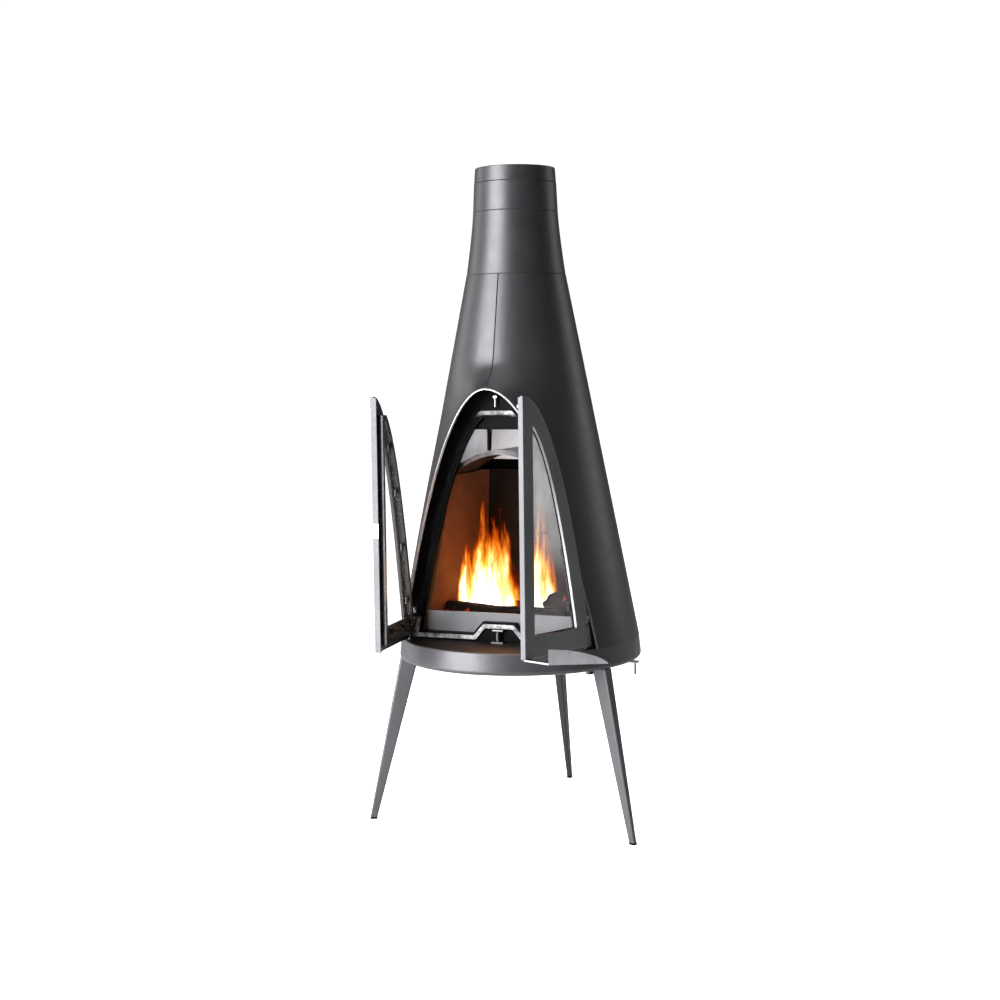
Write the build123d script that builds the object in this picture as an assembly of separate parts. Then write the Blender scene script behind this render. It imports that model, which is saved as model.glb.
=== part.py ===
from build123d import *
from math import atan2, atan, cos, degrees, hypot, radians, sin, sqrt, tanh
import os

os.makedirs("parts", exist_ok=True)

# Frame: millimetres, origin on the floor on the flue axis, front is -Y, +Z is up.

# Cone body
ring_top_z = 383.0
ring_bottom_z = 340.0
body_r = 246.4
body_slope = 0.1965
cone_top_z = 1120.0
wall = 6.0

# Mouth of the body: a parabola in front view whose lip flares out to two prow planes
lip_k = 9.27
lip_top_z = 891.0
lip_peak_y = -184.0
lip_rake = 0.245
flare_reach = 60.0

# Flue collar
flue_r = 75.0
spigot_r = 78.0
collar_bore_r = 78.4
collar_mid_z = 1247.0
collar_top_z = 1305.0
stove_top_z = 1335.0

# Base
hearth_r = 239.5
hearth_z = 377.0
ring_inner_r = 215.0
leg_azimuth = 64.5
leg_top_outer_r = 249.0
leg_top_inner_r = 212.0
leg_foot_outer_r = 318.0
leg_foot_inner_r = 303.0
glide_h = 4.0

# Firebox front
frame_front_y = -118.0
frame_back_y = -112.0
open_k = 8.1
open_top_z = 848.0
open_flat_z = 836.0
sill_z = 400.0
step_z = 424.0
step_half = 35.0
step_foot = 56.0

# Firebox lining: plan half widths at the front and at the back
lining_front_y = -106.0
lining_back_y = 70.0
lining_top_z = 718.0
upper_bottom_z = 741.0
upper_top_z = 824.0
casing_top_z = 828.0

# Doors, drawn closed and then swung to the open rest pose
hinge_x = 188.0
hinge_y = -138.0
door_gap = 4.0
door_bottom_z = 388.0
door_top_z = 882.0
door_k = 8.9
door_t = 7.0
glass_k = 7.55
glass_top_z = 840.0
bar_w = 28.0
rail_top_z = 430.0
rim_depth = 13.5
pin_r = 4.0
pin_fit = 0.06
knuckle_top_z = 428.0
lug_z = 429.0
lug_t = 6.0
right_open = 69.0
left_open = -85.0

# Handle on the right door
strip_w = 13.0
strip_t = 3.0
strip_z = 384.5
strip_out = 50.0
fin_len = 112.0
fin_h = 29.0
fin_turn = -44.0

# Air control and ash pan
disc_r = 135.0
disc_z = 335.2
lever_angle = 3.7
lever_len = 252.0
pan_y = -15.0
pan_l = 180.0
pan_w = 130.0


def block(x0, x1, y0, y1, z0, z1):
    """Box given by its limits."""
    size = Box(x1 - x0, y1 - y0, z1 - z0)
    return Pos((x0 + x1) / 2, (y0 + y1) / 2, (z0 + z1) / 2) * size


def rod(r, x, y, z0, z1):
    """Upright cylinder between two heights."""
    return Pos(x, y, (z0 + z1) / 2) * Cylinder(r, z1 - z0)


def rod_y(r, x, z, y0, y1):
    """Cylinder lying along Y."""
    return Pos(x, (y0 + y1) / 2, z) * Rot(90, 0, 0) * Cylinder(r, y1 - y0)


def prism(face, y0, y1):
    """Front-view outline made solid between two depths."""
    return Pos(0, y1, 0) * extrude(Plane.XZ * face, amount=y1 - y0)


def turned(points):
    """Solid of revolution about the flue axis from a closed outline of (r, z) points."""
    return revolve(make_face(Plane.XZ * Polyline(*points, close=True)), Axis.Z)


def tube(r0, r1, z0, z1):
    """Plain ring."""
    return rod(r1, 0, 0, z0, z1) - rod(r0, 0, 0, z0 - 1, z1 + 1)


def one(shape):
    """The single solid in a result."""
    return max(shape.solids(), key=lambda s: s.volume)


def save(node, shape):
    """Write one node; a list becomes a group of separate solids."""
    if isinstance(shape, list):
        shape = Compound(children=[one(s) for s in shape])
    else:
        shape = one(shape)
    shape.label = node
    export_step(shape, f"parts/{node}.step")


def cone_r(z):
    return body_r - body_slope * (z - ring_top_z)


def lip_y(x):
    return lip_peak_y + lip_rake * abs(x)


def flare(x, z):
    """How far the body stands out from the plain cone near the mouth."""
    gx = 2 * x / lip_k**2
    g = hypot(gx, 1)
    d = ((x / lip_k) ** 2 + z - lip_top_z) / g
    if d >= flare_reach:
        return 0.0
    nx = x - d * gx / g
    nz = lip_top_z - (nx / lip_k) ** 2
    height = hypot(nx, lip_y(nx)) - cone_r(nz)
    if d < 0:
        return height * (1 + 50 / flare_reach * tanh(-d / 25))
    return height * (1 - d / flare_reach) ** 2


def body_radius(azimuth, z):
    """Outer radius of the body at an azimuth measured from the front."""
    r = cone_r(z)
    if azimuth > 100:
        return r
    for _ in range(12):
        r = cone_r(z) + flare(r * sin(radians(azimuth)), z)
    return r


def half_width(y, z, inset):
    """Half width of the room inside the body at a depth and height."""
    x = sqrt((cone_r(z) - inset) ** 2 - y**2)
    for _ in range(12):
        r = cone_r(z) + flare(x, z) - inset
        x = sqrt(r**2 - y**2)
    return x


def arch(k, top, floor, grow=0.0):
    """Parabolic arch outline, optionally grown outwards."""
    half = k * sqrt(top - floor)
    pts = []
    for i in range(-16, 17):
        x = half * i / 16
        gx = 2 * x / k**2
        g = hypot(gx, 1)
        pts.append((x + grow * gx / g, top - (x / k) ** 2 + grow / g))
    curve = Spline(*pts)
    return make_face(curve + Line(curve @ 1, curve @ 0))


def swing(shape, side):
    """Move a part drawn on the closed right door onto its open door."""
    if side > 0:
        at = Pos(hinge_x, hinge_y, 0) * Rot(0, 0, right_open) * Pos(-hinge_x, -hinge_y, 0)
        return at * shape
    at = Pos(-hinge_x, hinge_y, 0) * Rot(0, 0, left_open) * Pos(hinge_x, -hinge_y, 0)
    return at * mirror(shape, Plane.YZ)


# ---------------------------------------------------------------- body shells
azimuths = [6 * i for i in range(31)]
levels = [ring_top_z + (cone_top_z - ring_top_z) * i / 40 for i in range(41)]


def body_section(z, inset):
    """Half ring of points round the body, set inwards by a distance."""
    pts = []
    for a in azimuths:
        r = body_radius(a, z) - inset
        pts.append((r * sin(radians(a)), -r * cos(radians(a)), z))
    return pts


def shell_face(z):
    outer = Spline(*body_section(z, 0))
    inner = Spline(*reversed(body_section(z, wall)))
    return make_face(outer + Line(outer @ 1, inner @ 0) + inner + Line(inner @ 1, outer @ 0))


half_body = loft([shell_face(z) for z in levels])
mouth = prism(arch(lip_k, lip_top_z, ring_top_z - 20), -400, 0)
seam = block(-1, 0.4, -400, 400, ring_top_z - 1, cone_top_z + 1)
shell_right = one(half_body - mouth - seam)
save("shell_right", shell_right)
save("shell_left", mirror(shell_right, Plane.YZ))

# Straps and bolts that join the two shells from inside
tilt = degrees(atan(body_slope))
strap_t = 4.0


def strap(z0, z1, y0, y1):
    out0 = cone_r(z0) - wall - 0.2
    out1 = cone_r(z1) - wall - 0.2
    ring = turned([(out0 - strap_t, z0), (out0, z0), (out1, z1), (out1 - strap_t, z1)])
    return ring & block(-20, 20, y0, y1, z0, z1)


def on_strap(shape, angle, z):
    r = cone_r(z) - wall - 0.4 - strap_t
    return Rot(0, 0, angle) * Pos(r, 0, z) * Rot(0, 90 - tilt, 0) * shape


strap_front = strap(970, 1108, -300, 0)
strap_back = strap(392, 1108, 0, 300)
bolt = Pos(0, 0, -2) * Cylinder(5, 4) + Pos(0, 0, 1.9) * Cylinder(3, 3.8)
hole = Pos(0, 0, 2) * Cylinder(3.1, 12)
seam_bolts = []
for z in [990, 1088]:
    for turn in [-6.5, 6.5]:
        strap_front -= on_strap(hole, -90 + turn, z)
        seam_bolts.append(on_strap(bolt, -90 + turn, z))
for z in [430, 640, 850, 1060]:
    turn = degrees(11 / cone_r(z))
    for side in [-1, 1]:
        strap_back -= on_strap(hole, 90 + side * turn, z)
        seam_bolts.append(on_strap(bolt, 90 + side * turn, z))
save("seam_straps", [strap_front, strap_back])
save("seam_bolts", seam_bolts)

# ---------------------------------------------------------------- flue collar
sweep_line = Bezier((101, cone_top_z + 1), (88.7, 1205), (86.3, collar_mid_z - 0.8))
lower_lines = Polyline(
    (85.5, collar_mid_z), (collar_bore_r, collar_mid_z), (collar_bore_r, cone_top_z), (100, cone_top_z)
)
lower_face = make_face(
    Plane.XZ
    * (
        Line((100, cone_top_z), (101, cone_top_z + 1))
        + sweep_line
        + Line((86.3, collar_mid_z - 0.8), (85.5, collar_mid_z))
        + lower_lines
    )
)
save("collar_lower", revolve(lower_face, Axis.Z))


def band(z0, z1, r0, r1):
    bore = collar_bore_r
    c = 0.8
    return turned([(bore, z0), (r0 - c, z0), (r0, z0 + c), (r1, z1 - c), (r1 - c, z1), (bore, z1)])


save("collar_middle", band(collar_mid_z, collar_top_z, 86.2, 83.6))
save("collar_top", band(collar_top_z, stove_top_z, 83.2, 81.2))
save("flue_spigot", tube(flue_r, spigot_r, casing_top_z + 4, stove_top_z - 2))

# ---------------------------------------------------------------- base ring and legs
ring_profile = make_face(
    Plane.XZ
    * (
        Polyline((242, 340), (ring_inner_r, 340), (ring_inner_r, 377), (239.7, 377), (239.7, 382.5))
        + Line((239.7, 382.5), (240.2, 383))
        + Line((240.2, 383), (245.4, 383))
        + Line((245.4, 383), (246.3, 382))
        + Line((246.3, 382), (249.9, 349))
        + Bezier((249.9, 349), (250.8, 340), (242, 340))
    )
)
base_ring = revolve(ring_profile, Axis.Z)
leg_turns = [leg_azimuth - 90, -leg_azimuth - 90, 90]
leg_names = ["leg_front_right", "leg_front_left", "leg_rear"]

foot = Pos((leg_foot_inner_r + leg_foot_outer_r) / 2, 0, glide_h) * RectangleRounded(
    leg_foot_outer_r - leg_foot_inner_r, 9.5, 3
)
root_face = Pos((leg_top_inner_r + leg_top_outer_r) / 2, 0, ring_bottom_z) * RectangleRounded(
    leg_top_outer_r - leg_top_inner_r, 20, 4
)
leg = loft([foot, root_face]) + block(205, 213.2, -18, 18, 326, 366)
leg_bolts = []
glides = []
for y in [-10, 10]:
    bore = Pos(212, y, 353) * Rot(0, 90, 0) * Cylinder(4.05, 28)
    leg -= bore
    for turn in leg_turns:
        base_ring -= Rot(0, 0, turn) * bore
        shank = Pos(214.8, y, 353) * Rot(0, 90, 0) * Cylinder(4, 20)
        head = Pos(202, y, 353) * Rot(0, 90, 0) * Cylinder(6.5, 6)
        leg_bolts.append(Rot(0, 0, turn) * (shank + head))
for turn, name in zip(leg_turns, leg_names):
    save(name, Rot(0, 0, turn) * leg)
    glide = extrude(
        Pos((leg_foot_inner_r + leg_foot_outer_r) / 2 + 0.3, 0, 0) * RectangleRounded(15.4, 10.5, 3.5),
        amount=glide_h,
    )
    glides.append(Rot(0, 0, turn) * glide)
save("foot_glides", glides)
save("leg_bolts", leg_bolts)
save("base_ring", base_ring)

hearth = rod(hearth_r, 0, 0, hearth_z, ring_top_z)
hearth -= block(-93, 93, pan_y - 68, pan_y + 68, hearth_z - 1, ring_top_z + 1)
for side in [-1, 1]:
    hearth -= rod(pin_r + 0.02, side * hinge_x, hinge_y, hearth_z - 1, ring_top_z + 1)
save("hearth_plate", hearth)

# ---------------------------------------------------------------- ash box, air control, grate
ash_box = rod(165, 0, 0, 341, 344) + tube(162, 165, 344, hearth_z)
air_disc = rod(disc_r, 0, 0, disc_z, disc_z + 5.2)
for i in range(-2, 3):
    a = radians(90 + 22 * i)
    ash_box -= rod(8, 112 * cos(a), 112 * sin(a), 330, 350)
    air_disc -= rod(8, 112 * cos(a), 112 * sin(a), 330, 350)
ash_box -= rod(5.02, 0, 0, 330, 350)
air_disc -= rod(5.08, 0, 0, 330, 350)
save("ash_box", ash_box)
save("air_pivot", rod(5, 0, 0, 331.2, 343.9) + rod(9, 0, 0, 331.2, 334.8))
save("air_disc", air_disc)

lever = extrude(Pos(170, 0, disc_z - 3) * Rectangle(lever_len - 90, 14), amount=3)
lever &= rod(lever_len, 0, 0, disc_z - 4, disc_z + 1)
save("air_lever", Rot(0, 0, lever_angle) * lever)
save("air_pin", Rot(0, 0, lever_angle) * (rod(2.5, 243.5, 0, 308, disc_z - 3)))

grate = block(-100, 100, pan_y - 75, pan_y + 75, ring_top_z, ring_top_z + 8)
for i in range(-5, 6):
    slot = Pos(i * 16, pan_y, 0) * SlotOverall(118, 7, rotation=90)
    grate -= extrude(slot, amount=450)
save("grate", grate)
pan = block(-pan_l / 2, pan_l / 2, pan_y - pan_w / 2, pan_y + pan_w / 2, 344, ring_top_z)
pan -= block(-pan_l / 2 + 2, pan_l / 2 - 2, pan_y - pan_w / 2 + 2, pan_y + pan_w / 2 - 2, 346, 400)
save("ash_pan", pan)

# ---------------------------------------------------------------- firebox
outline_right = []
outline_left = []
for i in range(30):
    z = ring_top_z + (892 - ring_top_z) * i / 29
    x = half_width(frame_front_y, z, wall + 1.6)
    outline_right.append((x, z))
    outline_left.append((-x, z))
right_curve = Spline(*outline_right)
left_curve = Spline(*reversed(outline_left))
plate_face = make_face(
    right_curve + Line(right_curve @ 1, left_curve @ 0) + left_curve + Line(left_curve @ 1, right_curve @ 0)
)


def opening(grow, y0, y1):
    """Stepped arch outline of the firebox opening, grown outwards."""
    body = prism(arch(open_k, open_top_z, ring_top_z - 30, grow), y0, y1)
    body &= block(-220, 220, y0, y1, sill_z - grow, open_flat_z + grow)
    half = step_half - 0.455 * grow
    foot = step_foot - 0.455 * grow
    low = ring_top_z - 40
    step = [(-foot, low), (-foot, sill_z - grow), (-half, step_z - grow)]
    step += [(-x, z) for x, z in reversed(step)]
    return body - prism(make_face(Polyline(*step, close=True)), y0, y1)


front_frame = prism(plate_face, frame_front_y, frame_back_y)
front_frame += opening(4, frame_front_y - 4, frame_front_y)
front_frame -= opening(0, -140, -100)
save("front_frame", front_frame)
rope = opening(12.5, frame_front_y - 6, frame_front_y) - opening(4.3, -140, -100)
save("frame_gasket", rope)
save("retaining_plate", block(-160, 160, -111.7, -107.5, ring_top_z, 441))


def side_panel(z0, z1, front0, front1, back0, back1, t):
    faces = []
    for z, xf, xb in [(z0, front0, back0), (z1, front1, back1)]:
        pts = [(xf, lining_front_y), (xb, lining_back_y), (xb + t, lining_back_y), (xf + t, lining_front_y)]
        faces.append(Pos(0, 0, z) * make_face(Polyline(*pts, close=True)))
    return loft(faces, ruled=True)


def back_panel(z0, z1, half0, half1, t):
    y = lining_back_y + 0.5 + t / 2
    faces = [Pos(0, y, z) * Rectangle(2 * h, t) for z, h in [(z0, half0), (z1, half1)]]
    return loft(faces, ruled=True)


liner = side_panel(ring_top_z, lining_top_z, 166, 104, 103, 92, 16)
save("liner_right", liner)
save("liner_left", mirror(liner, Plane.YZ))
save("liner_back", back_panel(ring_top_z, lining_top_z, 117, 106, 16))
upper = side_panel(upper_bottom_z, upper_top_z, 98, 79, 91, 87, 12)
save("smoke_plate_right", upper)
save("smoke_plate_left", mirror(upper, Plane.YZ))
save("smoke_plate_back", back_panel(upper_bottom_z, upper_top_z, 88, 84, 12))

baffle_curve = Bezier((-104, lining_top_z), (0, lining_top_z + 84), (104, lining_top_z))
baffle_top = Bezier((104, lining_top_z + 10), (0, lining_top_z + 94), (-104, lining_top_z + 10))
baffle_face = make_face(
    baffle_curve
    + Line(baffle_curve @ 1, baffle_top @ 0)
    + baffle_top
    + Line(baffle_top @ 1, baffle_curve @ 0)
)
save("baffle_plate", prism(baffle_face, -103, 20))
save("baffle_rod", rod(3.4, -27, -95, lining_top_z + 50, casing_top_z - 0.1))
save("lintel", block(-75, 75, -111.8, -109.2, 811, 850))


def casing_face(z, front, back):
    pts = [(-front, -112), (-back, 87.5), (back, 87.5), (front, -112)]
    pts += [(front + 3, -112), (back + 3, 90.5), (-back - 3, 90.5), (-front - 3, -112)]
    return Pos(0, 0, z) * make_face(Polyline(*pts, close=True))


casing = loft([casing_face(ring_top_z, 185.5, 121), casing_face(casing_top_z, 100, 106)], ruled=True)
lid_pts = [(-100, -109), (-107, 90), (107, 90), (100, -109)]
lid = extrude(Pos(0, 0, casing_top_z) * make_face(Polyline(*lid_pts, close=True)), amount=4)
lid -= rod(flue_r, 0, 0, casing_top_z - 1, casing_top_z + 5)
save("firebox_wall", casing)
save("firebox_top", lid)

# ---------------------------------------------------------------- catches and hinges
save("bottom_catch", block(-12, 12, -134, -121, 383, 386) + rod(3, 0, -128, 386, 406)
     + Pos(0, -128, 408) * Rot(0, 90, 0) * Cylinder(3.2, 22))
save("catch_roller", rod(4.4, 0, -128, 388, 403) - rod(3.06, 0, -128, 387, 404))
save("top_catch", block(-3.5, 3.5, -129, frame_front_y, 874, 878) + rod(2, 0, -126, 856, 874))

brackets = []
pins = []
screws = []
for side in [-1, 1]:
    foot_ring = rod(6, hinge_x, hinge_y, ring_top_z, door_bottom_z - 0.4)
    lug = rod(7, hinge_x, hinge_y, lug_z, lug_z + lug_t)
    lug += block(hinge_x - 5, hinge_x + 5, hinge_y, frame_front_y, lug_z, lug_z + lug_t)
    lug += block(hinge_x - 7, hinge_x + 5, frame_front_y - 3, frame_front_y, 421, 447)
    for solid in [foot_ring, lug]:
        solid = solid - rod(pin_r + 0.02, hinge_x, hinge_y, 380, 450)
        brackets.append(solid if side > 0 else mirror(solid, Plane.YZ))
    pins.append(rod(pin_r, side * hinge_x, hinge_y, 378, lug_z + lug_t + 1.2))
    for z in [425, 443]:
        screws.append(rod_y(2.5, side * (hinge_x - 1), z, frame_front_y - 5, frame_front_y - 3))
save("hinge_brackets", brackets)
save("hinge_pins", pins)
save("bracket_screws", screws)

# ---------------------------------------------------------------- doors, drawn closed
plate_in = hinge_y
plate_out = hinge_y - door_t
edge_x = door_gap / 2


def door_zone(k, top, x0, z0, z1, y0, y1, grow=0.0):
    """Half arch beside the closing edge."""
    body = Pos(edge_x, 0, 0) * prism(arch(k, top, ring_top_z - 60, grow), y0, y1)
    return body & block(x0, 260, y0, y1, z0, z1)


window = door_zone(glass_k, glass_top_z, edge_x + bar_w, rail_top_z, 900, -170, -100)
door = door_zone(door_k, door_top_z, edge_x, door_bottom_z, door_top_z - 0.6, plate_out, plate_in)
door -= window
bars = door.edges().filter_by(Plane.XZ)
front_edges = bars.filter_by(lambda e: abs(e.center().Y - plate_out) < 0.1)
door = fillet(front_edges, 1.8)
door += block(edge_x, edge_x + 6, plate_in, plate_in + 5, door_bottom_z, door_top_z - 3)
door += rod(7, hinge_x, hinge_y, door_bottom_z, knuckle_top_z)
door -= block(hinge_x - 8.5, hinge_x + 20, -170, -100, knuckle_top_z + 0.4, lug_z + lug_t + 2.4)
door -= rod(pin_r + pin_fit, hinge_x, hinge_y, 380, 450)

glass_zone = door_zone(glass_k, glass_top_z, 22, 418, glass_top_z - 4, -136, -132, 8)
rim_outer = door_zone(8.3, 862, 14, 401, 846, plate_in, plate_in + rim_depth)
rim_inner = door_zone(glass_k, glass_top_z, 21.6, 417.6, glass_top_z - 3.6, -170, -100, 8.4)
rim = rim_outer - rim_inner
bed = door_zone(glass_k, glass_top_z, 23, 419, glass_top_z - 5, plate_in, plate_in + 2, 7)
bed -= door_zone(glass_k, glass_top_z, edge_x + bar_w + 1, rail_top_z + 1, 900, -170, -100, -1)

clips = []
clip_screws = []
clip_places = [(22, 480, 0), (22, 620, 0), (22, 760, 0), (70, 418, 1), (130, 418, 1)]
for x, z, along in clip_places:
    if along:
        clips.append(block(x - 7, x + 7, -132, -129.5, 417.7, 427))
        clip_screws.append(rod_y(2, x, 422, -129.5, -127.5))
    else:
        clips.append(block(21.7, 31, -132, -129.5, z - 7, z + 7))
        clip_screws.append(rod_y(2, 26, z, -129.5, -127.5))
for z in [470, 580, 690, 780]:
    x = edge_x + glass_k * sqrt(glass_top_z - z)
    clips.append(block(x - 3, x + 5.5, -132, -129.5, z - 7, z + 7))
    clip_screws.append(rod_y(2, x + 1, z, -129.5, -127.5))

for side, name in [(1, "right"), (-1, "left")]:
    save(f"{name}_door_frame", swing(door, side))
    save(f"{name}_door_rim", swing(rim, side))
    save(f"{name}_door_glass", swing(glass_zone, side))
    save(f"{name}_door_gasket", swing(bed, side))
    save(f"{name}_door_clips", [swing(c, side) for c in clips])
    save(f"{name}_clip_screws", [swing(c, side) for c in clip_screws])

strike = block(edge_x - 1, edge_x, plate_out + 1.5, plate_in + 5, 611, 638)
save("left_door_strike", swing(strike, -1))
latch = block(8.2, 18, plate_in, plate_in + 3, 850, 872)
latch += block(9, 14, plate_in + 3, plate_in + 9, 860, 865)
latch += block(4, 14, plate_in + 5.3, plate_in + 9, 860, 865)
save("right_door_latch", swing(latch, 1))

strip_x = edge_x + 6.4
tab = block(strip_x, strip_x + strip_w, plate_in, plate_in + strip_t, strip_z, 400)
reach = block(strip_x, strip_x + strip_w, plate_out - strip_out, plate_in + strip_t, strip_z, strip_z + strip_t)
fin_curve = Bezier((0, fin_h), (fin_len * 0.62, fin_h), (fin_len, 6), (fin_len, 0))
fin_face = make_face(Line((0, 0), (0, fin_h)) + fin_curve + Line((fin_len, 0), (0, 0)))
fin_at = Pos(strip_x, plate_out - strip_out, strip_z) * Rot(0, 0, fin_turn)
fin = fin_at * prism(fin_face, 0, strip_t)
handle = tab + reach + fin
save("door_handle", swing(handle, 1))
handle_screws = [rod_y(2.5, strip_x + strip_w / 2, 394, plate_in + strip_t, plate_in + strip_t + 2)]
save("handle_screws", swing(handle_screws[0], 1))
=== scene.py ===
import bpy
import bmesh
import math
import random
from mathutils import Matrix, Vector, noise


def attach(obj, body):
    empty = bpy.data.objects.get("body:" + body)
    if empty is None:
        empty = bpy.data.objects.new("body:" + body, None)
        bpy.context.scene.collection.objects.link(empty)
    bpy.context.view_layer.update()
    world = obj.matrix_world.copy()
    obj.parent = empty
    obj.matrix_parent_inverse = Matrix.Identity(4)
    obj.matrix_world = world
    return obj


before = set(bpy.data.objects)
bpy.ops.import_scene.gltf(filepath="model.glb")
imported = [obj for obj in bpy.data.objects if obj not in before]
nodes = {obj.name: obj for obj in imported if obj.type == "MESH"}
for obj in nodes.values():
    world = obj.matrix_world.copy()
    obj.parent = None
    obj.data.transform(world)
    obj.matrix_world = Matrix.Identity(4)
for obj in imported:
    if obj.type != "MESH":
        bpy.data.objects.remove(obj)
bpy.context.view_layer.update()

# Measures of the CAD that looks are placed by, in millimetres and degrees
LIP_K = 9.27
LIP_TOP = 891
GLASS_K = 7.55
GLASS_TOP = 840
BAR_INNER_X = 31
RAIL_TOP = 430
HINGE_X = 188
HINGE_Y = -138
RIGHT_OPEN = 69
LEFT_OPEN = -85


# ------------------------------------------------------------------ materials
def material(name):
    """A new node material; returns it with its tree and shader."""
    mat = bpy.data.materials.new(name)
    mat.use_nodes = True
    tree = mat.node_tree
    return mat, tree, tree.nodes["Principled BSDF"]


def node(tree, kind, **values):
    made = tree.nodes.new(kind)
    for key, value in values.items():
        if key in made.inputs:
            made.inputs[key].default_value = value
        else:
            setattr(made, key, value)
    return made


def coords(tree, stretch=(1, 1, 1)):
    """Object coordinates, optionally stretched, for grain that doesn't need UVs."""
    source = node(tree, "ShaderNodeTexCoord")
    mapping = node(tree, "ShaderNodeMapping")
    mapping.inputs["Scale"].default_value = stretch
    tree.links.new(source.outputs["Object"], mapping.inputs["Vector"])
    return mapping.outputs["Vector"]


def grain(tree, vector, scale, detail=3, rough=0.55):
    tex = node(tree, "ShaderNodeTexNoise", Scale=scale, Detail=detail, Roughness=rough)
    tree.links.new(vector, tex.inputs["Vector"])
    return tex.outputs["Fac"]


def ramp(tree, fac, *stops):
    """Colour ramp; each stop is (position, colour)."""
    made = node(tree, "ShaderNodeValToRGB")
    while len(made.color_ramp.elements) < len(stops):
        made.color_ramp.elements.new(0.5)
    for element, (position, colour) in zip(made.color_ramp.elements, stops):
        element.position = position
        element.color = tuple(colour) + (1,) if len(colour) == 3 else colour
    tree.links.new(fac, made.inputs["Fac"])
    return made.outputs["Color"]


def spread(tree, fac, low, high, start=0.3, end=0.7):
    """Maps a factor to a range of numbers."""
    made = node(tree, "ShaderNodeMapRange")
    made.inputs["From Min"].default_value = start
    made.inputs["From Max"].default_value = end
    made.inputs["To Min"].default_value = low
    made.inputs["To Max"].default_value = high
    tree.links.new(fac, made.inputs["Value"])
    return made.outputs["Result"]


def bump(tree, shader, height, strength, distance, under=None):
    made = node(tree, "ShaderNodeBump", Strength=strength, Distance=distance)
    tree.links.new(height, made.inputs["Height"])
    if under:
        tree.links.new(under, made.inputs["Normal"])
    tree.links.new(made.outputs["Normal"], shader.inputs["Normal"])
    return made.outputs["Normal"]


def blend_colour(tree, fac, a, b):
    mix = node(tree, "ShaderNodeMix", data_type="RGBA")
    for socket, value in ((mix.inputs[0], fac), (mix.inputs[6], a), (mix.inputs[7], b)):
        if isinstance(value, (tuple, float, int)):
            socket.default_value = tuple(value) + (1,) if isinstance(value, tuple) else value
        else:
            tree.links.new(value, socket)
    return mix.outputs[2]


def maths(tree, kind, a, b=0.0):
    """One math node; a and b are numbers or sockets."""
    made = node(tree, "ShaderNodeMath", operation=kind)
    for socket, value in zip(made.inputs, (a, b)):
        if isinstance(value, (int, float)):
            socket.default_value = value
        else:
            tree.links.new(value, socket)
    return made.outputs[0]


def lip_highlight_band(tree, split):
    """Mask of a painted highlight: one on a narrow band just outside the lip where the shell ends at the
    mouth, weaker lower down, else zero.
    """
    x = maths(tree, "MULTIPLY", split.outputs["X"], 1000)
    z = maths(tree, "MULTIPLY", split.outputs["Z"], 1000)
    above = maths(tree, "ADD", maths(tree, "DIVIDE", maths(tree, "MULTIPLY", x, x), LIP_K**2), z)
    slope = maths(tree, "MULTIPLY", x, 2 / LIP_K**2)
    steep = maths(tree, "SQRT", maths(tree, "ADD", maths(tree, "MULTIPLY", slope, slope), 1))
    away = maths(tree, "DIVIDE", maths(tree, "SUBTRACT", above, LIP_TOP), steep)
    band = spread(tree, away, 1, 0, 1.6, 2.8)
    front = spread(tree, split.outputs["Y"], 1, 0, -0.1, -0.08)
    upper = spread(tree, split.outputs["Z"], 0.12, 1, 0.55, 0.76)
    return maths(tree, "MULTIPLY", maths(tree, "MULTIPLY", band, front), upper)


def paint(name, dark, light, rough, edge_wear_and_highlight=0.0, seam=0.0, sheen=0.5):
    """Heat-proof satin paint over cast iron: fine orange-peel grain and slow tone changes.

    Edges may be lightened, part wear and part painted highlight; on the body shells, seam paints shade into
    the joint between the halves and a painted highlight along the lip of the mouth.
    """
    mat, tree, shader = material(name)
    at = coords(tree)
    slow = grain(tree, at, 6, 4)
    fine = grain(tree, at, 700, 2)
    colour = ramp(tree, slow, (0.3, dark), (0.7, light))
    speck = ramp(tree, fine, (0.35, (0.82, 0.82, 0.82)), (0.65, (1.12, 1.12, 1.12)))
    tint = node(tree, "ShaderNodeMix", data_type="RGBA", blend_type="MULTIPLY")
    tint.inputs[0].default_value = 1.0
    tree.links.new(colour, tint.inputs[6])
    tree.links.new(speck, tint.inputs[7])
    colour = tint.outputs[2]
    edge = node(tree, "ShaderNodeBevel", Radius=0.0016)
    # Edges lightened towards light grey: part wear, part painted highlight where the edges catch the light.
    if edge_wear_and_highlight:
        flat = node(tree, "ShaderNodeNewGeometry")
        bend = node(tree, "ShaderNodeVectorMath", operation="DOT_PRODUCT")
        tree.links.new(edge.outputs[0], bend.inputs[0])
        tree.links.new(flat.outputs["Normal"], bend.inputs[1])
        worn_and_lit_edge = spread(tree, bend.outputs["Value"], edge_wear_and_highlight, 0.0, 0.8, 0.98)
        colour = blend_colour(tree, worn_and_lit_edge, colour, (0.34, 0.34, 0.34))
    finish = spread(tree, grain(tree, at, 40, 3), rough[0], rough[1])
    if seam:
        split = node(tree, "ShaderNodeSeparateXYZ")
        tree.links.new(at, split.inputs[0])
        # Painted shade: a near-black, fully rough strip along the joint between the two shell halves, where
        # the gap lies in shade.
        seam_shade = spread(tree, maths(tree, "ABSOLUTE", split.outputs["X"]), 1, 0, seam * 0.6, seam)
        colour = blend_colour(tree, seam_shade, colour, (0.002, 0.002, 0.002))
        # Painted highlight: a light grey line on the shell along the lip of the mouth.
        colour = blend_colour(tree, lip_highlight_band(tree, split), colour, (0.75, 0.75, 0.76))
        finish = maths(tree, "MAXIMUM", seam_shade, finish)
    tree.links.new(colour, shader.inputs["Base Color"])
    tree.links.new(finish, shader.inputs["Roughness"])
    shader.inputs["Specular IOR Level"].default_value = sheen
    first = bump(tree, shader, fine, 0.35, 0.00012, edge.outputs[0])
    bump(tree, shader, grain(tree, at, 60, 3), 0.12, 0.0006, first)
    return mat


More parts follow.
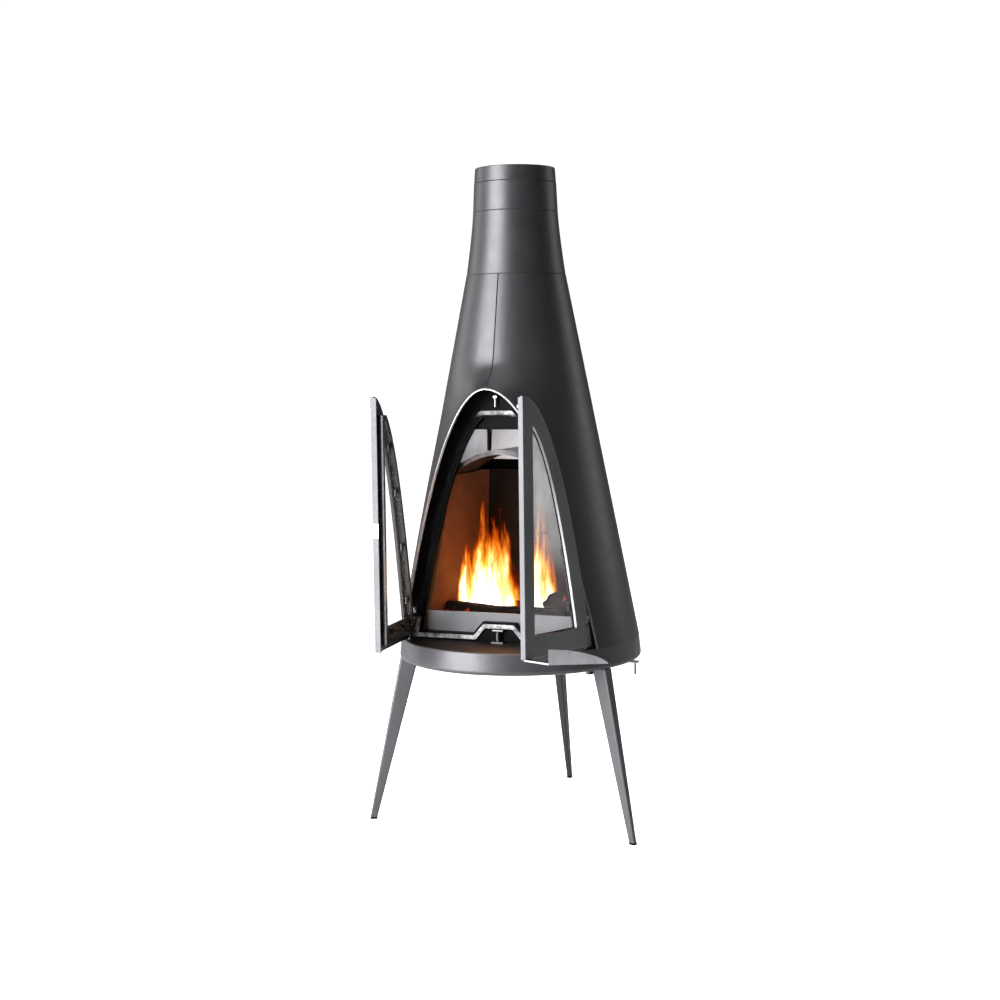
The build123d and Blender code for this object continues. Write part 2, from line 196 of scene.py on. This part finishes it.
def metal(name, colour, rough, brushed=(1, 1, 1), scratch=0.25, stain=None):
    """Bare or polished steel with directional scratches."""
    mat, tree, shader = material(name)
    shader.inputs["Metallic"].default_value = 1.0
    at = coords(tree, brushed)
    lines = grain(tree, at, 260, 4)
    marks = grain(tree, coords(tree), 35, 4)
    base = ramp(tree, marks, (0.3, [c * 0.82 for c in colour]), (0.7, colour))
    if stain:
        spots = spread(tree, grain(tree, coords(tree), 18, 5), 0.0, 0.7, 0.5, 0.7)
        base = blend_colour(tree, spots, base, stain)
    tree.links.new(base, shader.inputs["Base Color"])
    tree.links.new(spread(tree, marks, rough * 0.75, rough * 1.35), shader.inputs["Roughness"])
    bump(tree, shader, lines, scratch, 0.00008)
    return mat


def matt(name, stops, scale, rough, depth, sheen=0.5):
    """Matt stained surface: brick, board, soot or ash."""
    mat, tree, shader = material(name)
    at = coords(tree)
    colour = ramp(tree, grain(tree, at, scale, 5, 0.65), *stops)
    tree.links.new(colour, shader.inputs["Base Color"])
    shader.inputs["Roughness"].default_value = rough
    shader.inputs["Specular IOR Level"].default_value = sheen
    first = bump(tree, shader, grain(tree, at, scale * 12, 4), 0.5, depth)
    bump(tree, shader, grain(tree, at, scale * 2, 3), 0.3, depth * 3, first)
    return mat


def rope(name, low, high, depth):
    """Woven glass rope, near black between two heights and grey above and below them."""
    mat, tree, shader = material(name)
    at = coords(tree)
    weave = node(tree, "ShaderNodeTexVoronoi", Scale=420)
    tree.links.new(at, weave.inputs["Vector"])
    rope_noise = grain(tree, at, 45, 6, 0.7)
    grey = ramp(
        tree, rope_noise, (0.34, (0.05, 0.049, 0.048)), (0.5, (0.2, 0.197, 0.193)),
        (0.66, (0.5, 0.495, 0.485)),
    )
    split = node(tree, "ShaderNodeSeparateXYZ")
    tree.links.new(at, split.inputs[0])
    above = spread(tree, split.outputs["Z"], 0, 1, high - 0.006, high + 0.002)
    below = spread(tree, split.outputs["Z"], 1, 0, low - 0.002, low + 0.006)
    grey_zone = maths(tree, "MAXIMUM", above, below)
    black = ramp(tree, rope_noise, (0.4, (0.002, 0.002, 0.002)), (0.62, (0.006, 0.006, 0.006)))
    colour = blend_colour(tree, grey_zone, black, grey)
    tree.links.new(colour, shader.inputs["Base Color"])
    shader.inputs["Roughness"].default_value = 0.95
    shader.inputs["Specular IOR Level"].default_value = 0.08
    bump(tree, shader, weave.outputs["Distance"], 0.9, depth)
    return mat


def stove_glass(name, low, high, bottom, top):
    """Stove glass: clear sheet with a painted reflection, a light grey cover that grows towards the top."""
    mat, tree, shader = material(name)
    at = coords(tree)
    glass_noise = grain(tree, at, 9, 5, 0.6)
    split = node(tree, "ShaderNodeSeparateXYZ")
    tree.links.new(at, split.inputs[0])
    reflection_rise = spread(tree, split.outputs["Z"], low, high, bottom, top)
    uneven = spread(tree, glass_noise, 0.7, 1.25)
    tree.links.new(maths(tree, "MULTIPLY", reflection_rise, uneven), shader.inputs["Alpha"])
    colour = ramp(tree, glass_noise, (0.3, (0.7, 0.71, 0.7)), (0.7, (0.88, 0.88, 0.88)))
    tree.links.new(colour, shader.inputs["Base Color"])
    tree.links.new(spread(tree, glass_noise, 0.05, 0.14), shader.inputs["Roughness"])
    shader.inputs["IOR"].default_value = 1.5
    bump(tree, shader, grain(tree, at, 14, 2), 0.05, 0.0004)
    return mat


def glow(name, stops, scale, strength, base):
    """Dark crust or bark with hot cracks."""
    mat, tree, shader = material(name)
    at = coords(tree)
    heat = grain(tree, at, scale, 6, 0.7)
    shader.inputs["Base Color"].default_value = base + (1,)
    shader.inputs["Roughness"].default_value = 0.95
    shader.inputs["Specular IOR Level"].default_value = 0.1
    tree.links.new(ramp(tree, heat, *stops), shader.inputs["Emission Color"])
    shader.inputs["Emission Strength"].default_value = strength
    bump(tree, shader, grain(tree, at, scale * 3, 5), 0.8, 0.002)
    return mat


STOVE = paint("stove_paint_mat", (0.01, 0.01, 0.011), (0.015, 0.015, 0.0163), (0.37, 0.43), seam=0.0016)
COLLAR = paint("collar_paint_mat", (0.01, 0.01, 0.011), (0.015, 0.015, 0.0163), (0.37, 0.43))
# Painted highlight: a light grey copy of the stove paint for the cut lip faces of the mouth.
LIP_HIGHLIGHT = paint("lip_edge_painted_highlight_mat", (0.5, 0.5, 0.51), (0.75, 0.75, 0.76), (0.3, 0.4))
RING = paint("ring_paint_mat", (0.02, 0.018, 0.021), (0.03, 0.028, 0.032), (0.34, 0.42), edge_wear_and_highlight=0.4)
LEG = paint("leg_paint_mat", (0.032, 0.029, 0.032), (0.052, 0.048, 0.052), (0.38, 0.48), edge_wear_and_highlight=0.4)
# Painted shade: the rear leg takes a much darker copy of the leg paint, as it stands in shade.
SHADED_REAR_LEG = paint("rear_leg_painted_shade_mat", (0.005, 0.005, 0.0055), (0.009, 0.0088, 0.0095), (0.4, 0.5), edge_wear_and_highlight=0.3)
DOOR = paint("door_paint_mat", (0.035, 0.035, 0.036), (0.06, 0.06, 0.062), (0.32, 0.45), edge_wear_and_highlight=0.5)
# Painted highlight: a lighter copy of the door paint for the door closing edges, standing in for the light
# they catch.
DOOR_EDGE_HIGHLIGHT = paint("door_edge_painted_highlight_mat", (0.115, 0.115, 0.121), (0.155, 0.155, 0.163), (0.5, 0.6), sheen=0.2)
# Painted highlight: light grey for the glass edge of the right door frame.
GLASS_EDGE_HIGHLIGHT = paint("glass_edge_painted_highlight_mat", (0.4, 0.4, 0.41), (0.6, 0.6, 0.61), (0.3, 0.4))
SHELF = matt(
    "hearth_mat",
    [(0.3, (0.006, 0.005, 0.0045)), (0.7, (0.013, 0.01, 0.009))],
    14, 0.6, 0.0002, sheen=0.12,
)
BLACK = matt(
    "firebox_black_mat",
    [(0.3, (0.0015, 0.0015, 0.0015)), (0.72, (0.004, 0.004, 0.004))],
    20, 0.42, 0.00015, sheen=0.02,
)
RIM = paint("rim_black_mat", (0.004, 0.004, 0.004), (0.009, 0.009, 0.009), (0.24, 0.34))
BRICK = matt(
    "fire_brick_mat",
    [(0.25, (0.035, 0.01, 0.0015)), (0.5, (0.1, 0.03, 0.004)), (0.75, (0.17, 0.052, 0.007))],
    7, 0.9, 0.0008,
)
SOOTED = matt(
    "sooted_brick_mat",
    [(0.3, (0.003, 0.0014, 0.0006)), (0.7, (0.012, 0.005, 0.002))],
    9, 0.9, 0.0008, sheen=0.2,
)
BOARD = matt(
    "light_board_mat",
    [(0.25, (0.42, 0.42, 0.42)), (0.5, (0.6, 0.6, 0.6)), (0.8, (0.72, 0.72, 0.72))],
    9, 0.85, 0.0004,
)
BAFFLE = matt(
    "baffle_mat",
    [(0.3, (0.012, 0.008, 0.007)), (0.7, (0.03, 0.02, 0.017))],
    12, 0.6, 0.0004, sheen=0.15,
)
BAFFLE_FACE = metal("baffle_face_mat", (0.05, 0.05, 0.052), 0.45, (1, 1, 1), 0.2, (0.03, 0.013, 0.009))
GUARD = matt("guard_mat", [(0.3, (0.028, 0.028, 0.03)), (0.7, (0.066, 0.066, 0.069))], 10, 0.4, 0.0002)
GRATE = matt("grate_mat", [(0.3, (0.01, 0.009, 0.008)), (0.7, (0.05, 0.04, 0.035))], 30, 0.85, 0.0008)
STEEL = metal("bare_steel_mat", (0.5, 0.5, 0.5), 0.34, (1, 1, 8))
DARK_STEEL = metal("dark_steel_mat", (0.28, 0.28, 0.29), 0.4, (1, 1, 6), 0.3, (0.1, 0.09, 0.085))
BLACK_STEEL = metal("black_steel_mat", (0.05, 0.05, 0.05), 0.35)
CATCH = metal("catch_steel_mat", (0.11, 0.11, 0.115), 0.35)
POLISHED = metal("polished_steel_mat", (0.36, 0.36, 0.37), 0.3, (12, 1, 1), 0.12)
STRIKE = metal("strike_mat", (0.8, 0.8, 0.8), 0.3, (1, 1, 4))
ROPE = rope("rope_mat", 0.425, 0.842, 0.0009)
DOOR_ROPE = rope("door_rope_mat", 0.3, 1.2, 0.0003)
# Painted reflection: faint light grey on the left glass, strong towards the top of the right glass.
CLEAR_GLASS = stove_glass("left_glass_mat", 0.05, 0.08, 0.4, 0.8)
REFLECTION_GLASS = stove_glass("right_glass_mat", 0.06, 0.85, 0.54, 0.75)

# Later rows win over earlier ones
by_start = {
    "shell_": STOVE, "collar_": COLLAR, "base_ring": RING, "leg_front": LEG, "leg_rear": SHADED_REAR_LEG,
    "foot_glides": BLACK, "hearth_plate": SHELF, "front_frame": BLACK, "firebox": BLACK,
    "ash_box": BLACK, "ash_pan": GRATE, "grate": GRATE, "flue_spigot": BLACK, "seam_straps": BLACK,
    "liner": BRICK, "liner_back": SOOTED, "smoke": BOARD, "baffle": BAFFLE, "baffle_rod": BLACK,
    "lintel": BLACK, "retaining_plate": GUARD, "bottom_catch": CATCH, "top_catch": STEEL,
    "catch_roller": CATCH, "hinge_brackets": RIM, "hinge_pins": STEEL, "air_disc": BLACK,
    "frame_gasket": ROPE, "door_handle": POLISHED, "handle_screws": STEEL,
    "left_door_glass": CLEAR_GLASS, "right_door_glass": REFLECTION_GLASS,
}
by_end = {
    "_door_frame": DOOR, "_door_rim": RIM, "_door_gasket": DOOR_ROPE, "_door_clips": RIM,
    "_clip_screws": BLACK_STEEL, "_door_strike": STRIKE, "_door_latch": STEEL,
}
for name, obj in nodes.items():
    found = DARK_STEEL
    for key, mat in by_start.items():
        if name.startswith(key):
            found = mat
    for key, mat in by_end.items():
        if name.endswith(key):
            found = mat
    obj.data.materials.clear()
    obj.data.materials.append(found)
    for poly in obj.data.polygons:
        poly.material_index = 0


def mark_faces(name, mats, choose):
    """Gives single faces of a node another look; choose returns a slot number for a face."""
    obj = nodes[name]
    for mat in mats:
        obj.data.materials.append(mat)
    place = obj.matrix_world
    turn = place.to_3x3()
    for poly in obj.data.polygons:
        poly.material_index = choose(place @ poly.center * 1000, (turn @ poly.normal).normalized())


def lip_face(centre, normal):
    """Shell faces: 1 on the cut lip of the mouth, 2 inside the shell, 0 outside."""
    off = (centre.x / LIP_K) ** 2 + centre.z - LIP_TOP
    if centre.y < 0 and abs(off) < 3 and abs(normal.y) < 0.1:
        return 1
    inwards = centre.x * normal.x + centre.y * normal.y < -0.5 * math.hypot(centre.x, centre.y)
    return 2 if inwards else 0


def door_face(side, angle, highlight_glass_edge):
    """Chooser for an open door: 0 outer face, 1 closing edge, 2 turned inwards, 3 glass edge."""
    back = Matrix.Rotation(math.radians(-angle), 3, "Z")
    hinge = Vector((HINGE_X * side, HINGE_Y, 0))

    def choose(centre, normal):
        at = back @ (centre - hinge) + hinge
        facing = back @ normal
        x = at.x * side
        across = facing.x * side
        if across < -0.9 and x < 4:
            return 1
        arch = (x / GLASS_K) ** 2 + at.z - GLASS_TOP
        if abs(facing.y) < 0.3 and abs(arch) < 12 and x > BAR_INNER_X and at.z > RAIL_TOP + 2:
            return 3 if highlight_glass_edge else 2
        return 0 if facing.y < -0.7 else 2

    return choose


# The cut lip faces of the mouth take the painted highlight; the inside faces of the shell take black.
for name in ("shell_left", "shell_right"):
    mark_faces(name, [LIP_HIGHLIGHT, BLACK], lip_face)
# The right door frame's glass edge takes a painted highlight, while the left door's glass edge stays black
# rim.
for part in ("door_frame", "door_rim"):
    mark_faces("right_" + part, [DOOR_EDGE_HIGHLIGHT, RIM, GLASS_EDGE_HIGHLIGHT], door_face(1, RIGHT_OPEN, part == "door_frame"))
    mark_faces("left_" + part, [DOOR_EDGE_HIGHLIGHT, RIM, DOOR_EDGE_HIGHLIGHT], door_face(-1, LEFT_OPEN, False))
mark_faces("baffle_plate", [BAFFLE_FACE], lambda centre, normal: int(normal.y < -0.8))


# ------------------------------------------------------------------ the fire
def piece(name, mesh, mat, body):
    """Adds a visible piece that rides on a body."""
    obj = bpy.data.objects.new(name, mesh)
    bpy.context.scene.collection.objects.link(obj)
    obj.data.materials.append(mat)
    for poly in mesh.polygons:
        poly.use_smooth = True
    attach(obj, body)


def log_mesh(name, start, end, radius, seed):
    """Split log between two points: bark side rough, ends nearly flat."""
    sides, rings = 28, 34
    rng = random.Random(seed)
    axis = Vector(end) - Vector(start)
    length = axis.length
    turn = axis.to_track_quat("Z", "Y").to_matrix()
    shift = rng.uniform(0, 50)
    mesh = bpy.data.meshes.new(name)
    bm = bmesh.new()
    loops = []
    for i in range(rings + 1):
        t = i / rings
        loop = []
        for j in range(sides):
            a = 2 * math.pi * j / sides
            split = 0.62 if 2.2 < a < 4.2 else 1.0
            soft = noise.noise(Vector((math.cos(a) * 1.2, math.sin(a) * 1.2, t * 2 + shift)))
            bark = noise.noise(Vector((math.cos(a) * 7, math.sin(a) * 7, t * 5 + shift)))
            r = radius * split * (1 + 0.16 * soft + 0.1 * bark)
            bend = 0.004 * math.sin(t * 3 + shift)
            p = turn @ Vector((r * math.cos(a) + bend, r * math.sin(a), t * length))
            loop.append(bm.verts.new(p + Vector(start)))
        loops.append(loop)
    for low, high in zip(loops, loops[1:]):
        for j in range(sides):
            k = (j + 1) % sides
            bm.faces.new((low[j], low[k], high[k], high[j]))
    for loop, flip in ((loops[0], True), (loops[-1], False)):
        centre = bm.verts.new(sum((v.co for v in loop), Vector()) / sides)
        for j in range(sides):
            k = (j + 1) % sides
            order = (loop[k], loop[j], centre) if flip else (loop[j], loop[k], centre)
            bm.faces.new(order)
    bm.normal_update()
    bm.to_mesh(mesh)
    bm.free()
    return mesh


EMBER_STOPS = [
    (0.5, (0, 0, 0)), (0.6, (0.45, 0.03, 0.0)), (0.7, (1.0, 0.2, 0.02)), (0.8, (1.0, 0.5, 0.12)),
]
CHAR_STOPS = [(0.6, (0, 0, 0)), (0.7, (0.35, 0.02, 0.0)), (0.82, (1.0, 0.25, 0.02))]
EMBER = glow("ember_mat", EMBER_STOPS, 70, 4.0, (0.006, 0.004, 0.003))
CHAR = glow("char_mat", CHAR_STOPS, 38, 1.8, (0.004, 0.0025, 0.002))

# Start, end, radius, seed
logs = [
    ((-0.138, -0.05, 0.43), (0.03, -0.078, 0.421), 0.024, 3),
    ((-0.12, 0.012, 0.425), (0.12, -0.012, 0.425), 0.026, 5),
    ((-0.102, -0.02, 0.453), (-0.015, 0.012, 0.45), 0.019, 8),
    ((0.13, -0.045, 0.452), (0.03, 0.01, 0.458), 0.023, 13),
    ((-0.02, -0.075, 0.43), (0.12, -0.06, 0.43), 0.019, 17),
]
for i, (start, end, radius, seed) in enumerate(logs):
    piece(f"log_{i}", log_mesh(f"log_{i}", start, end, radius, seed), CHAR, "ash_unit")


def ember_bed():
    """Heap of coals over the grate."""
    coals = 150
    bed_z = 0.3935
    rng = random.Random(21)
    mesh = bpy.data.meshes.new("embers")
    bm = bmesh.new()
    for _ in range(coals):
        x = rng.gauss(0, 0.038)
        y = rng.gauss(-0.02, 0.028)
        x = max(-0.088, min(0.088, x))
        y = max(-0.082, min(0.05, y))
        size = rng.uniform(0.005, 0.011)
        heap = 0.014 * math.exp(-(x * x) / 0.003 - (y + 0.02) ** 2 / 0.0015)
        z = bed_z + size * 0.6 + heap * rng.random()
        made = bmesh.ops.create_icosphere(bm, subdivisions=2, radius=size)
        squash = Matrix.Diagonal(
            (rng.uniform(0.8, 1.4), rng.uniform(0.7, 1.2), rng.uniform(0.55, 0.85), 1)
        )
        spin = Matrix.Rotation(rng.uniform(0, 6.28), 4, "Z")
        spin = spin @ Matrix.Rotation(rng.uniform(-0.4, 0.4), 4, "X")
        for v in made["verts"]:
            wobble = 1 + 0.35 * noise.noise(v.co * 170 + Vector((x, y, z)) * 90)
            v.co = Matrix.Translation((x, y, z)) @ spin @ squash @ (v.co * wobble)
    bm.to_mesh(mesh)
    bm.free()
    return mesh


piece("embers", ember_bed(), EMBER, "ash_unit")


def flame_material(name, seed, power):
    """Soft licking flames on a sheet: u runs across it from 0 to 1, v upwards."""
    mat = bpy.data.materials.new(name)
    mat.use_nodes = True
    tree = mat.node_tree
    tree.nodes.remove(tree.nodes["Principled BSDF"])
    out = tree.nodes["Material Output"]
    source = node(tree, "ShaderNodeUVMap", uv_map="flame")
    split = node(tree, "ShaderNodeSeparateXYZ")
    tree.links.new(source.outputs[0], split.inputs[0])

    def field(across, up, shift, detail):
        """Noise stretched along the flame."""
        made = node(tree, "ShaderNodeMapping")
        made.inputs["Scale"].default_value = (across, up, 1)
        made.inputs["Location"].default_value = (shift, shift * 0.7, 0)
        tree.links.new(source.outputs[0], made.inputs["Vector"])
        return grain(tree, made.outputs[0], 1.0, detail, 0.55)

    u = split.outputs["X"]
    v = split.outputs["Y"]
    crest = spread(tree, field(3.6, 0.8, seed, 2), 0.78, 1.14, 0.36, 0.64)
    lick = spread(tree, field(5.5, 2.8, seed + 3, 3), -0.22, 0.22, 0.3, 0.7)
    off = maths(tree, "ABSOLUTE", maths(tree, "SUBTRACT", u, 0.45))
    middle = spread(tree, off, 1.0, 0.5, 0.14, 0.46)
    top = maths(tree, "ADD", maths(tree, "MULTIPLY", crest, middle), lick)
    body = maths(tree, "SUBTRACT", top, v)
    left = spread(tree, u, 0, 1, 0.0, 0.08)
    right = spread(tree, u, 1, 0, 0.86, 0.98)
    side = maths(tree, "MULTIPLY", left, right)
    foot = spread(tree, v, 0, 1, -0.01, 0.08)
    heat = maths(tree, "MULTIPLY", maths(tree, "MULTIPLY", body, side), foot)
    colour = ramp(
        tree, heat, (0.0, (0.3, 0.015, 0.0)), (0.14, (0.8, 0.07, 0.0)), (0.3, (1.0, 0.22, 0.01)),
        (0.46, (1.0, 0.45, 0.06)), (0.6, (1.0, 0.78, 0.35)), (0.76, (1.0, 0.96, 0.84)),
    )
    emit = node(tree, "ShaderNodeEmission")
    tree.links.new(colour, emit.inputs["Color"])
    tree.links.new(spread(tree, heat, 0.6 * power, 3.0 * power, 0.05, 0.75), emit.inputs["Strength"])
    clear = node(tree, "ShaderNodeBsdfTransparent")
    mix = node(tree, "ShaderNodeMixShader")
    tree.links.new(spread(tree, heat, 0.0, 0.92, 0.0, 0.5), mix.inputs["Fac"])
    tree.links.new(clear.outputs[0], mix.inputs[1])
    tree.links.new(emit.outputs[0], mix.inputs[2])
    tree.links.new(mix.outputs[0], out.inputs["Surface"])
    return mat


def flame_sheet(name, centre, width, height, yaw, sway):
    """Curved sheet that carries one layer of flame."""
    across, up = 36, 30
    mesh = bpy.data.meshes.new(name)
    bm = bmesh.new()
    uv = bm.loops.layers.uv.new("flame")
    turn = Matrix.Rotation(math.radians(yaw), 3, "Z")
    grid = []
    for j in range(up + 1):
        v = j / up
        row = []
        for i in range(across + 1):
            u = i / across
            taper = 1 - 0.58 * v
            ripple = 0.006 * math.sin(9 * u + 5 * v + sway) + 0.01 * math.sin(3 * v + sway)
            p = turn @ Vector(((u - 0.5) * width * taper, ripple, v * height))
            row.append((bm.verts.new(p + Vector(centre)), (u, v)))
        grid.append(row)
    for low, high in zip(grid, grid[1:]):
        for i in range(across):
            corners = (low[i], low[i + 1], high[i + 1], high[i])
            face = bm.faces.new([c[0] for c in corners])
            for loop, corner in zip(face.loops, corners):
                loop[uv].uv = corner[1]
    bm.to_mesh(mesh)
    bm.free()
    return mesh


# Middle of the foot, width, height, yaw in degrees, sway, noise seed, strength
sheets = [
    ((-0.05, -0.045, 0.425), 0.15, 0.235, 14, 0.4, 2.3, 1.0),
    ((-0.042, -0.01, 0.425), 0.13, 0.22, 26, 2.1, 7.9, 0.9),
    ((-0.05, -0.02, 0.425), 0.08, 0.2, 84, 3.3, 13.4, 0.8),
    ((-0.094, -0.052, 0.425), 0.066, 0.165, 10, 1.2, 31.7, 0.9),
    ((0.062, -0.03, 0.425), 0.085, 0.235, 20, 4.4, 19.6, 0.9),
    ((0.05, -0.01, 0.425), 0.06, 0.18, 80, 5.2, 23.1, 0.8),
]
for i, (centre, width, height, yaw, sway, seed, power) in enumerate(sheets):
    name = f"flame_{i}"
    look = flame_material(f"{name}_mat", seed, power)
    piece(name, flame_sheet(name, centre, width, height, yaw, sway), look, "ash_unit")

# ------------------------------------------------------------------ stage, light and camera
# The floor and the sky are near white to the camera and only faint to every other ray.
FLOOR_HALF = 30
corners = [(-FLOOR_HALF, -FLOOR_HALF, 0), (FLOOR_HALF, -FLOOR_HALF, 0)]
corners += [(FLOOR_HALF, FLOOR_HALF, 0), (-FLOOR_HALF, FLOOR_HALF, 0)]
floor_mesh = bpy.data.meshes.new("floor")
floor_mesh.from_pydata(corners, [], [(0, 1, 2, 3)])
floor = bpy.data.objects.new("floor", floor_mesh)
bpy.context.scene.collection.objects.link(floor)
FLOOR, floor_tree, floor_shader = material("floor_mat")
patches = grain(floor_tree, coords(floor_tree), 0.6, 2)
tone = ramp(floor_tree, patches, (0.3, (0.9, 0.9, 0.9)), (0.7, (0.94, 0.94, 0.94)))
floor_tree.links.new(tone, floor_shader.inputs["Base Color"])
floor_shader.inputs["Roughness"].default_value = 0.9
floor_shader.inputs["Specular IOR Level"].default_value = 0.1
floor_tree.links.new(tone, floor_shader.inputs["Emission Color"])
eye = node(floor_tree, "ShaderNodeLightPath")
lift = spread(floor_tree, eye.outputs["Is Camera Ray"], 0.1, 1.3, 0, 1)
floor_tree.links.new(lift, floor_shader.inputs["Emission Strength"])
floor.data.materials.append(FLOOR)


def area(name, place, target, size, power, colour=(1, 1, 1), size_y=None):
    """Soft rectangular lamp aimed at a point."""
    light = bpy.data.lights.new(name, "AREA")
    light.energy = power
    light.color = colour
    light.shape = "RECTANGLE"
    light.size = size
    light.size_y = size_y or size
    obj = bpy.data.objects.new(name, light)
    obj.location = place
    obj.rotation_euler = (Vector(target) - Vector(place)).to_track_quat("-Z", "Y").to_euler()
    bpy.context.scene.collection.objects.link(obj)


def glow_light(name, place, power, radius, colour):
    """Small round lamp."""
    light = bpy.data.lights.new(name, "POINT")
    light.energy = power
    light.color = colour
    light.shadow_soft_size = radius
    obj = bpy.data.objects.new(name, light)
    obj.location = place
    bpy.context.scene.collection.objects.link(obj)


area("key", (-1.7, -2.62, 1.3), (0, 0, 0.72), 2.2, 430, (0.965, 0.965, 1.0), size_y=2.8)
area("left_rim", (-2.6, 0.3, 1.3), (0, 0, 0.75), 1.0, 22, size_y=2.4)
area("right_fill", (2.2, 2.1, 1.5), (0, 0, 0.7), 1.2, 13, size_y=2.0)
area("top_soft", (0.2, -0.8, 3.4), (0, 0, 0.4), 2.4, 30)
area("smoke_box_light", (0.0, -0.02, 0.822), (0.0, 0.0, 0.75), 0.09, 0.17, (0.93, 0.96, 1.0))
glow_light("fire_light", (-0.04, -0.03, 0.5), 1.5, 0.05, (1.0, 0.36, 0.08))

world = bpy.data.worlds.new("studio")
bpy.context.scene.world = world
world.use_nodes = True
sky = world.node_tree.nodes["Background"]
sky.inputs["Color"].default_value = (1, 1, 1, 1)
path = node(world.node_tree, "ShaderNodeLightPath")
level = spread(world.node_tree, path.outputs["Is Camera Ray"], 0.1, 1.05, 0, 1)
world.node_tree.links.new(level, sky.inputs["Strength"])

bpy.context.scene.view_settings.view_transform = "Standard"
bpy.context.scene.cycles.transparent_max_bounces = 24

camera_data = bpy.data.cameras.new("camera")
camera = bpy.data.objects.new("camera", camera_data)
bpy.context.scene.collection.objects.link(camera)
camera_data.sensor_width = 36
camera_data.lens = 57.30
right_axis = Vector((0.9326, 0.3609, -0.0125)).normalized()
forward = Vector((-0.3606, 0.9289, -0.0844)).normalized()
up_axis = right_axis.cross(forward).normalized()
right_axis = forward.cross(up_axis).normalized()
turn = Matrix((right_axis, up_axis, -forward)).transposed().to_4x4()
camera.matrix_world = Matrix.Translation((1.1493, -3.0675, 0.9386)) @ turn
bpy.context.scene.camera = camera
